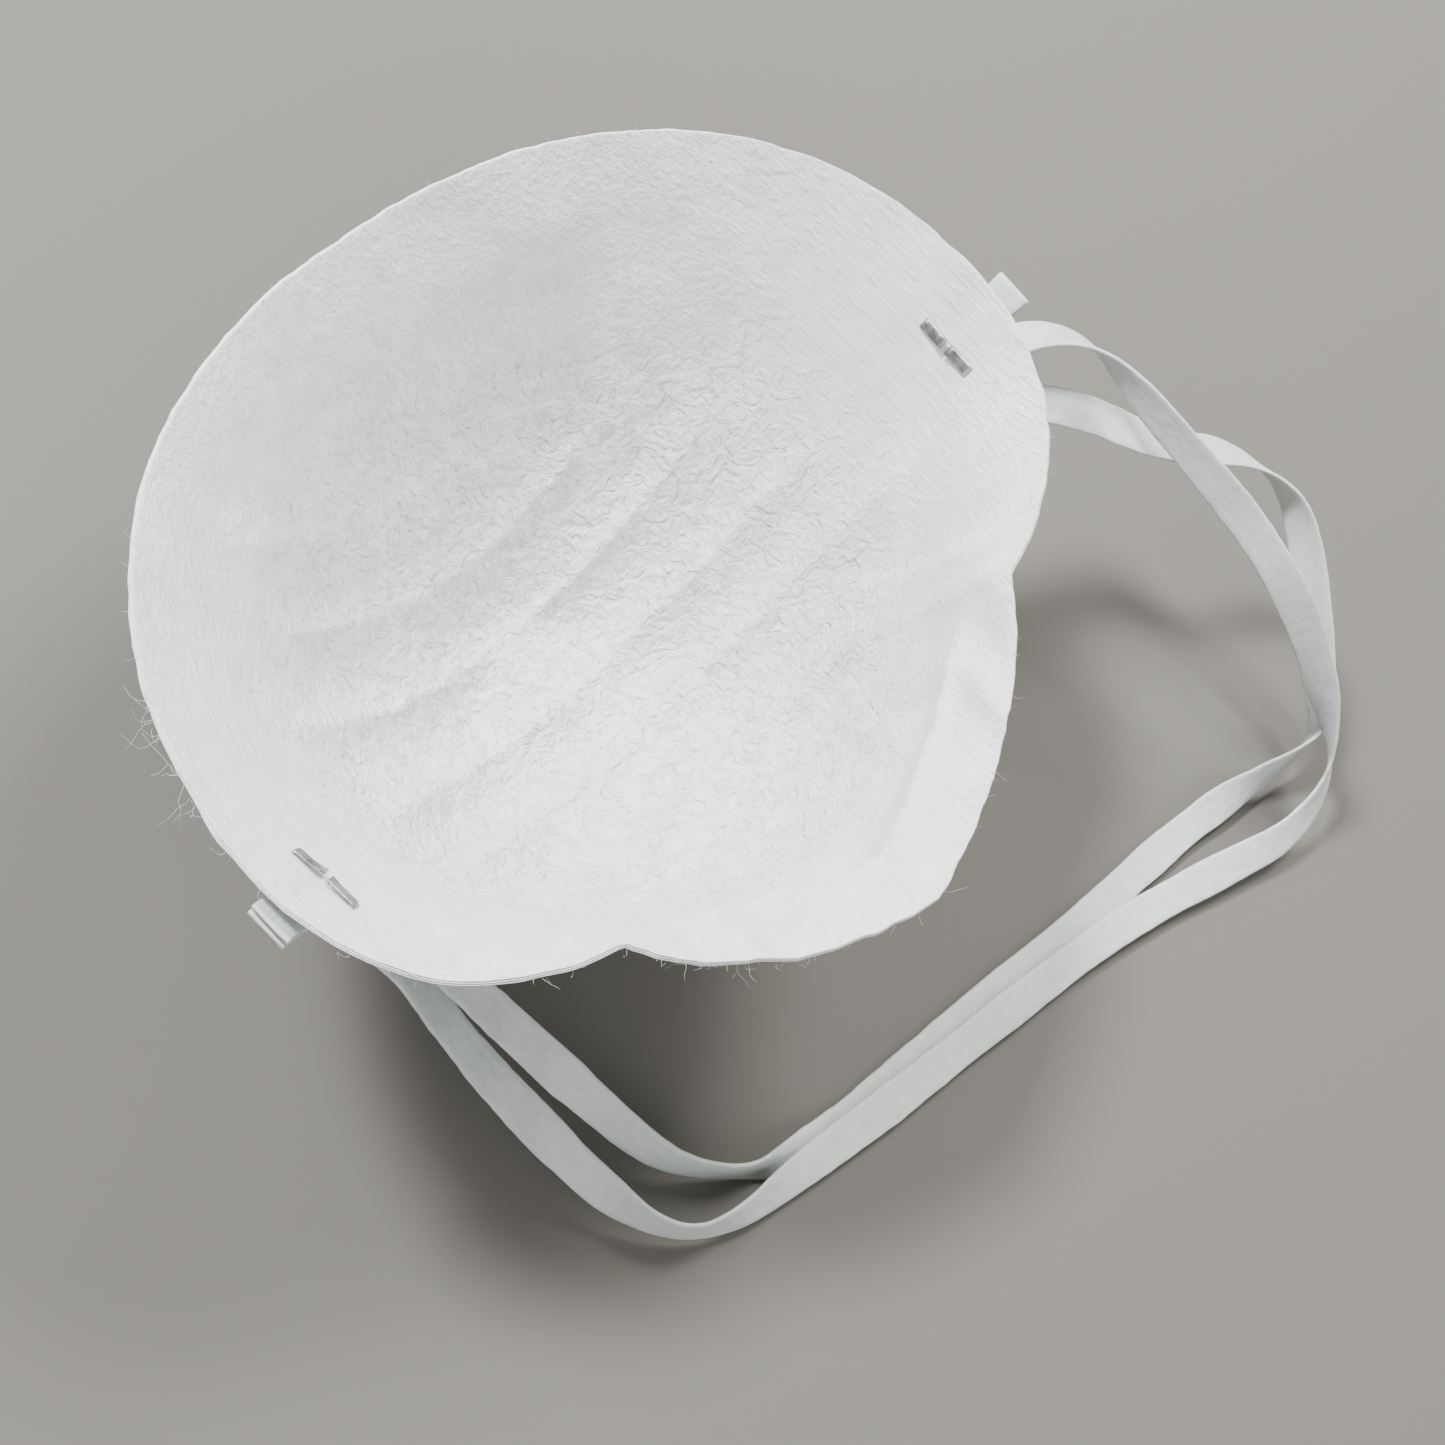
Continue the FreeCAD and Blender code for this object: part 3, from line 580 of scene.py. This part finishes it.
def cup_sheet(turn, down):
    """Those points with their outward normals, the cross product of the two slopes."""
    step, swing = 1e-3, 0.2
    inner = np.clip(down, step, LAST_ROW - step)
    below = down_the_wall(turn, inner + step) - down_the_wall(turn, inner - step)
    beside = down_the_wall(turn + swing, inner) - down_the_wall(turn - swing, inner)
    return down_the_wall(turn, down), unit(np.cross(beside, below))


# ------------------------------------------------------------ moulded relief
# Ribs that stand in towards the face: y on the middle line, how they arch towards the
# chin at the sides (per metre of x squared), where they fade out, and their strength.
RIBS = [
    (30.5 * MM, 2.5, -30 * MM, 2 * MM, 0.40),
    (20.5 * MM, 3.0, -28 * MM, 16 * MM, 0.75),
    (9.5 * MM, 2.0, -34 * MM, 28 * MM, 0.95),
    (-3.0 * MM, 1.2, -32 * MM, 34 * MM, 1.00),
    (-13.8 * MM, 1.0, -28 * MM, 40 * MM, 1.00),
    (-26.2 * MM, 1.0, -20 * MM, 27 * MM, 0.95),
    (-34.5 * MM, 3.0, -2 * MM, 20 * MM, 0.50),
]
RIB_RISE = 1.6 * MM
RIB_FADE = 12 * MM
NOSE_BAND, CHIN_BAND = 5 * MM, 6 * MM  # beyond the last ribs


def rib_relief(x, y):
    """Ribs that stand in towards the face: each is a cusp that falls with the square of
    the share left to the middle of the band beside it, and fades out at both ends."""
    relief = np.zeros_like(x)
    starts = [rib[0] for rib in RIBS]
    for number, (y0, arch, low, high, strength) in enumerate(RIBS):
        above = (starts[number - 1] - y0) / 2 if number else CHIN_BAND
        below = (y0 - starts[number + 1]) / 2 if number + 1 < len(RIBS) else NOSE_BAND
        apart = y - y0 - arch * x**2
        share = np.where(apart > 0, apart / above, -apart / below)
        cusp = np.clip(1 - share, 0, 1) ** 2
        relief = relief - RIB_RISE * strength * window(x, low, high, RIB_FADE) * cusp
    return relief


def crease(x, y, start, end, width, height):
    """A soft ridge of the given height along the line from start to end, in plan, low
    at both ends."""
    start, end = np.array(start) * MM, np.array(end) * MM
    along = end - start
    ahead = (x - start[0]) * along[0] + (y - start[1]) * along[1]
    share = np.clip(ahead / (along @ along), 0, 1)
    apart = np.hypot(x - start[0] - share * along[0], y - start[1] - share * along[1])
    arch = np.sin(np.pi * (0.08 + 0.84 * share))
    return height * MM * np.exp(-((apart / (width * MM)) ** 2)) * arch


# Creases and dents that handling left, in plan: start, end, half width, height in
# millimetres, with a positive height away from the face. All are raised by CREASE_RISE.
CREASES = [
    ((26.5, -36.0), (22.0, -46.5), 1.5, -0.75),
    ((33.5, -27.5), (27.5, -39.0), 2.2, 1.00),
    ((-22.5, -35.5), (-25.0, -45.0), 1.8, -0.35),
    ((-27.5, -33.5), (-30.0, -40.0), 2.0, 0.30),
    ((10.0, -43.5), (24.0, -36.5), 1.2, -0.45),
    ((-16.0, -45.0), (-19.0, -38.0), 2.0, 0.25),
    ((-29.5, -5.0), (-26.5, -5.5), 1.0, 0.45),
    ((-52.0, -10.0), (-44.0, -22.0), 1.6, -0.40),
    ((14.0, -38.5), (19.5, -31.0), 1.0, 0.35),
    ((17.5, -40.0), (23.5, -32.5), 0.9, 0.30),
    ((40.5, -27.0), (34.5, -22.0), 1.8, -0.55),
    ((-41.0, -27.0), (-35.5, -21.0), 2.0, -0.50),
]
CREASE_RISE = 1.7
FLANGE_EDGE = 8.8 * MM  # below the rim
FLANGE_HOLLOW = 13.5 * MM
STAPLE_PLACES = [np.array([56.2, -3.4]) * MM, np.array([-56.2, -3.4]) * MM]


def cup_relief(points, depth, fine=""):
    """How far the moulded sheet stands outside the plain form: ribs, creases, slow
    unevenness, and a crisp edge where the nose flange turns down, with a hollow under
    it. The face side ("inward") also has a crinkle of short ripples in the bowl, and
    the two outer faces of the stack a fine grain. There is none at the staples."""
    x, y, z = points[..., 0], points[..., 1], points[..., 2]
    radius = np.hypot(x, y)
    calm = np.ones_like(x)
    for place in STAPLE_PLACES:
        apart = np.hypot(x - place[0], y - place[1])
        calm = calm * smooth(apart, 4 * MM, 12 * MM)
    relief = rib_relief(x, y) - 0.2 * MM + 0.14 * MM * waves(points, 17 * MM, 11)
    for start, end, width, height in CREASES:
        relief = relief + CREASE_RISE * crease(x, y, start, end, width, height)
    away = np.degrees(np.abs(np.arctan2(x, -y)))
    flange = 1 - smooth(away, 30, 52)
    edge = np.exp(-(((depth - FLANGE_EDGE) / (1.2 * MM)) ** 2))
    hollow = np.exp(-(((depth - FLANGE_HOLLOW) / (3.2 * MM)) ** 2))
    relief = relief + (1.5 * hollow - 1.0 * edge) * MM * flange
    relief = relief * calm
    if fine == "inward":
        bowl = 1 - smooth(radius + 0.35 * z, 30 * MM, 56 * MM)
        chin_side = 0.45 + 0.55 * smooth(y - 0.25 * x, -38 * MM, 6 * MM)
        drift = np.stack([waves(points, 9 * MM, seed) for seed in (3, 4, 5)], axis=-1)
        bent = points + 0.9 * MM * drift
        ripple = 1 - np.abs(waves(bent, 4.6 * MM, 21))
        small = 1 - np.abs(waves(bent, 2.6 * MM, 23))
        relief = relief - (0.20 * (ripple + 1) + 0.10 * (small + 1)) * MM * bowl * chin_side
        relief = relief + 0.02 * MM * (waves(points, 1.9 * MM, 29) - 1) * calm
    if fine == "outward":
        relief = relief + 0.02 * MM * (waves(points, 2.2 * MM, 31) + 1) * calm
    return relief


def rim_squeeze(depth):
    """Share of the layers' spacing that is left near the cut edge, where they are
    pressed together: 0.42 at the rim, all of it 6 mm further down."""
    return 0.42 + 0.58 * smooth(depth, 0, 6 * MM)


ROUND_EDGE = np.radians([35, 70, 110, 145])
AROUND = 320  # points round each ring of a layer
DOWN = 106  # rings down each side of the wall
RIM_CROWDING = 1.15  # above 1 the rings stand closer together near the rim


def layer_points(near, far, fine):
    """One felt layer as a closed skin: down its inner side to the crown's middle, and
    round a soft cut edge at the rim to its outer side. Returns the lists of rings."""
    turn = np.arange(AROUND) * 360.0 / AROUND
    down = LAST_ROW * (np.arange(DOWN) / (DOWN - 1)) ** RIM_CROWDING
    points, normals = cup_sheet(turn, np.broadcast_to(down[:, None], (DOWN, AROUND)))
    flat = points[-1][None] * np.array([1, 1, 0])
    shares = np.linspace(1, 0, 10)[1:-1, None, None]
    middle = flat * shares + np.array([0, 0, LAYER_STACK])
    points = np.concatenate([points, middle])
    normals = np.concatenate([normals, np.broadcast_to([0.0, 0.0, -1.0], middle.shape)])
    depth = np.linalg.norm(points - points[0][None], axis=-1)
    squeeze = rim_squeeze(depth)
    upward = unit(points[0] - points[1])
    ragged = 0.07 * MM * waves(points, 4.5 * MM, 41) + 0.04 * MM * waves(points, 2.0 * MM, 43)
    near_rim = 1 - smooth(depth, 0, 4 * MM)
    base = points + normals * cup_relief(points, depth, fine)[..., None]
    base = base + upward[None] * ((ragged - 0.1 * MM) * near_rim)[..., None]
    inner = base + normals * (near * squeeze)[..., None]
    outer = base + normals * (far * squeeze)[..., None]
    outer[..., 2] = np.maximum(outer[..., 2], 0.03 * MM)
    mean, half = (inner[0] + outer[0]) / 2, (outer[0] - inner[0]) / 2
    thickness = np.linalg.norm(half, axis=-1, keepdims=True)
    edge = [mean - half * math.cos(a) + upward * thickness * math.sin(a) for a in ROUND_EDGE]
    return inner, outer, edge


def make_layer(name, node, near, far, fine, material):
    """A felt layer as a mesh: rings from the crown's middle up the inner side, over the
    edge and down the outer side, closed by a fan at each middle."""
    inner, outer, edge = layer_points(near, far, fine)
    rings = np.concatenate([inner[::-1], np.array(edge), outer])
    quads = tube_faces(len(rings), AROUND, caps=False)
    centres = np.array([inner[-1].mean(axis=0), outer[-1].mean(axis=0)])
    count = len(rings) * AROUND
    last = count - AROUND
    ring = np.arange(AROUND)
    after = (ring + 1) % AROUND
    near_fan = np.stack([np.full(AROUND, count), after, ring], axis=-1)
    far_fan = np.stack([np.full(AROUND, count + 1), last + ring, last + after], axis=-1)
    faces = quads + near_fan.tolist() + far_fan.tolist()
    points = np.concatenate([rings.reshape(-1, 3), centres])
    return new_piece(name, points, faces, material, (node,))


make_layer("face_felt", "inner_shell", 0.0, 0.5 * MM, "inward", INNER_FELT)
make_layer("web_felt", "filter_web", 0.58 * MM, 1.08 * MM, "", FILTER_FELT)
make_layer("front_felt", "outer_cover", 1.18 * MM, 1.65 * MM, "outward", COVER_FELT)

# ------------------------------------------------------- nose clip and staples
CLIP_REACH = 37.0  # degrees each side of the nose
CLIP_INSET = 2.6 * MM
CLIP_WIDTH = 5.0 * MM
CLIP_THICKNESS = 0.5 * MM
CLIP_RADIUS = 45 * MM  # rough distance from the cup's middle, for its round ends
CLIP_END = 2.2 * MM
CLIP_GAP = 0.09 * MM


def below_rim(turn, distance):
    """How far down the wall a straight distance below the rim is, at each angle: the
    guess is scaled by the wanted over the found distance six times."""
    rim = down_the_wall(turn, np.zeros_like(distance))
    down = np.full(distance.shape, 0.6)
    for _ in range(6):
        found = np.linalg.norm(down_the_wall(turn, down) - rim, axis=-1)
        down = np.clip(down * distance / found, 1e-3, 3)
    return down


def make_clip():
    """The clip is a strip that lies on the cover: rows across it at a set distance below
    the rim, drawn in to round its ends, with a rolled edge, closed top and back."""
    stations = np.linspace(-1, 1, 161)
    reach = np.linspace(-1, 1, 13)
    half_angle = CLIP_REACH * stations
    arc_left = (1 - np.abs(stations)) * math.radians(CLIP_REACH) * CLIP_RADIUS
    to_end = 1 - np.clip(arc_left / CLIP_END, 0, 1)
    round_end = np.sqrt(np.clip(1 - to_end**2, 0, 1))
    half = CLIP_WIDTH / 2 * np.maximum(round_end, 0.12)
    distance = CLIP_INSET + CLIP_WIDTH / 2 + reach[:, None] * half[None, :]
    turn = 180 - half_angle
    down = below_rim(turn, distance)
    points, normals = cup_sheet(turn, down)
    lift = LAYER_STACK * rim_squeeze(distance) + cup_relief(points, distance) + CLIP_GAP
    centre = len(reach) // 2
    lift = lift[centre - 1 : centre + 2].max(axis=0)[None] * np.ones_like(lift)
    under = points + normals * lift[..., None]
    crowned = 1 - 0.25 * np.abs(reach[:, None]) ** 6
    over = under + normals * (CLIP_THICKNESS * crowned)[..., None]
    ring = np.concatenate([over, under[::-1]]).transpose(1, 0, 2)
    return new_piece(
        "nose_strip",
        ring,
        tube_faces(ring.shape[0], ring.shape[1]),
        CLIP_ALUMINIUM,
        ("nose_clip",),
    )


make_clip()

STAPLE_INNER = np.array([56.16, -3.44, 48.99]) * MM
STAPLE_OUT = np.array([0.720, -0.090, -0.688])
STAPLE_ALONG = np.array([0.065, 0.996, -0.062])
WIRE_WIDTH = 1.5 * MM
WIRE_THICKNESS = 0.34 * MM
BEND_START = 0.55 * MM  # distance from a corner at which its bend begins


def make_staple(name, node, side):
    """A staple of flattened wire, bent softly round six corners: its crown lies over
    the straps, its legs pass through the cup, and the ends are folded towards each
    other on the face side, their tips lifted a little."""
    # place along the crown, and out from the inner face
    left_leg = [(-0.40, -0.80), (-1.9, -0.60), (-4.5, -0.60), (-4.5, 3.40)]
    right_leg = [(4.5, 3.40), (4.5, -0.60), (2.1, -0.60), (0.35, -1.00)]
    corners = np.array(left_leg + right_leg) * MM
    arms = [corners[0]]
    for before, corner, after in zip(corners[:-2], corners[1:-1], corners[2:]):
        start = corner + unit(before - corner) * BEND_START
        end = corner + unit(after - corner) * BEND_START
        t = np.linspace(0, 1, 9)[:, None]
        arms.extend((1 - t) ** 2 * start + 2 * t * (1 - t) * corner + t**2 * end)
    arms.append(corners[-1])
    flat_path = np.array(arms)
    heading = unit(np.gradient(flat_path, axis=0))
    bow = np.stack([-heading[:, 1], heading[:, 0]], axis=1)
    out = unit(STAPLE_OUT)
    along = unit(STAPLE_ALONG - out * (STAPLE_ALONG @ out))
    aside = np.cross(out, along)
    angle = np.radians(np.arange(16) * 22.5)
    wide = np.sign(np.cos(angle)) * np.abs(np.cos(angle)) ** 0.5 * WIRE_WIDTH / 2
    thick = np.sign(np.sin(angle)) * np.abs(np.sin(angle)) ** 0.5 * WIRE_THICKNESS / 2
    in_plane = flat_path[:, None, :] + bow[:, None, :] * thick[None, :, None]
    points = (
        STAPLE_INNER
        + along * in_plane[..., 0:1]
        + out * in_plane[..., 1:2]
        + aside * wide[None, :, None]
    )
    faces = tube_faces(len(flat_path), len(angle))
    if side < 0:
        points = points * np.array([-1, 1, 1])
        faces = [face[::-1] for face in faces]
    return new_piece(name, points, faces, STAPLE_WIRE, (node,))


make_staple("right_staple", "staple_right", 1)
make_staple("left_staple", "staple_left", -1)


# -------------------------------------------------------------- loose fibres
THREAD_RINGS = 7
THREAD_SIDES = 3
THREAD_POINTS = THREAD_RINGS * THREAD_SIDES
THREAD_RADIUS = 0.022 * MM


def make_fuzz(name, count, seed, middle, spread, longest):
    """Fibres that have worked loose from the cut edge: each is a three-sided thread that
    bends and curls away from a point of the rim by its own amounts."""
    rng = np.random.default_rng(seed)
    turn = (middle + spread * rng.normal(size=count)) % 360
    down = np.full((1, count), 0.02)
    root, normal = cup_sheet(turn, down)
    root, normal = root[0], normal[0]
    upward = unit(root - down_the_wall(turn, down + 0.2)[0])
    beside = np.cross(upward, normal)
    length = longest * rng.uniform(0.25, 1.0, count) ** 1.5
    mix = rng.normal(size=(count, 2))
    way = unit(upward * 0.8 + normal * (0.35 + 0.35 * mix[:, :1]) + beside * 0.7 * mix[:, 1:])
    bend = unit(rng.normal(size=(count, 3)))
    t = np.linspace(0, 1, THREAD_RINGS)[:, None, None]
    root = root + normal * (rng.uniform(0.1, 1.0, count) * MM)[:, None] - upward * 0.4 * MM
    curl = np.sin(2 * math.pi * (0.9 * t + rng.uniform(0, 1, (1, count, 1)))) * 0.16 * t
    coil = np.cos(2 * math.pi * (1.3 * t + rng.uniform(0, 1, (1, count, 1)))) * 0.16 * t
    other = np.cross(bend, way)
    line = root + (way * t + 0.6 * bend * t**2 + curl * beside + coil * other) * length[:, None]
    lead = unit(way + 0.55 * bend)
    first = unit(np.cross(lead, normal + 0.01))
    second = np.cross(lead, first)
    thin = THREAD_RADIUS * (1 - 0.6 * t)
    turns = [2 * math.pi * side / THREAD_SIDES for side in range(THREAD_SIDES)]
    rings = [line + (first * math.cos(a) + second * math.sin(a)) * thin for a in turns]
    points = np.stack(rings, axis=2).transpose(1, 0, 2, 3)
    one = np.array(tube_faces(THREAD_RINGS, THREAD_SIDES, caps=False))
    starts = np.arange(count) * THREAD_POINTS
    faces = (one[None] + starts[:, None, None]).reshape(-1, 4).tolist()
    tips = starts + THREAD_POINTS - THREAD_SIDES
    faces += np.stack([starts + 2, starts + 1, starts], axis=1).tolist()
    faces += np.stack([tips, tips + 1, tips + 2], axis=1).tolist()
    return new_piece(name, points, faces, LOOSE_FIBRE)


make_fuzz("rim_fuzz_left", 26, 71, 284, 10, 5.0 * MM)
make_fuzz("rim_fuzz_nose", 45, 77, 222, 28, 2.6 * MM)
make_fuzz("rim_fuzz_all", 170, 73, 90, 120, 1.5 * MM)


# ------------------------------------------------------------ floor and lights
def make_floor():
    """A plain pale floor, well wider than the view."""
    reach, height = 2.5, -0.2 * MM
    corners = [(-reach, -reach), (reach, -reach), (reach, reach), (-reach, reach)]
    mesh = bpy.data.meshes.new("floor")
    mesh.from_pydata([(x, y, height) for x, y in corners], [], [(0, 1, 2, 3)])
    floor = bpy.data.objects.new("floor", mesh)
    bpy.context.collection.objects.link(floor)
    paint = Nodes("pale floor")
    paint.shader.inputs["Base Color"].default_value = (0.118, 0.111, 0.098, 1)
    paint.shader.inputs["Roughness"].default_value = 0.75
    mesh.materials.append(paint.material)


def make_light(name, place, aim, width, power, colour):
    """A square soft light at a place, turned to face its aim."""
    light = bpy.data.lights.new(name, "AREA")
    light.shape = "SQUARE"
    light.size = width
    light.energy = power
    light.color = colour
    lamp = bpy.data.objects.new(name, light)
    way = Vector(aim) - Vector(place)
    turn = way.to_track_quat("-Z", "Y").to_matrix().to_4x4()
    lamp.matrix_world = Matrix.Translation(place) @ turn
    bpy.context.collection.objects.link(lamp)


make_floor()
make_light("key", (0.62, 0.16, 0.80), (0, -0.01, 0.02), 0.32, 15.0, (1.0, 0.99, 0.96))
make_light("window", (-0.10, 0.78, 0.90), (0, -0.01, 0.02), 0.20, 35.0, (0.98, 0.99, 1.0))
make_light("fill", (-0.5, -0.8, 0.7), (0, 0, 0.02), 1.2, 8.5, (0.99, 0.995, 1.0))
world = bpy.data.worlds.new("studio")
bpy.context.scene.world = world
world.use_nodes = True
background = world.node_tree.nodes["Background"]
background.inputs["Color"].default_value = (1.0, 1.0, 0.985, 1)
background.inputs["Strength"].default_value = 0.50
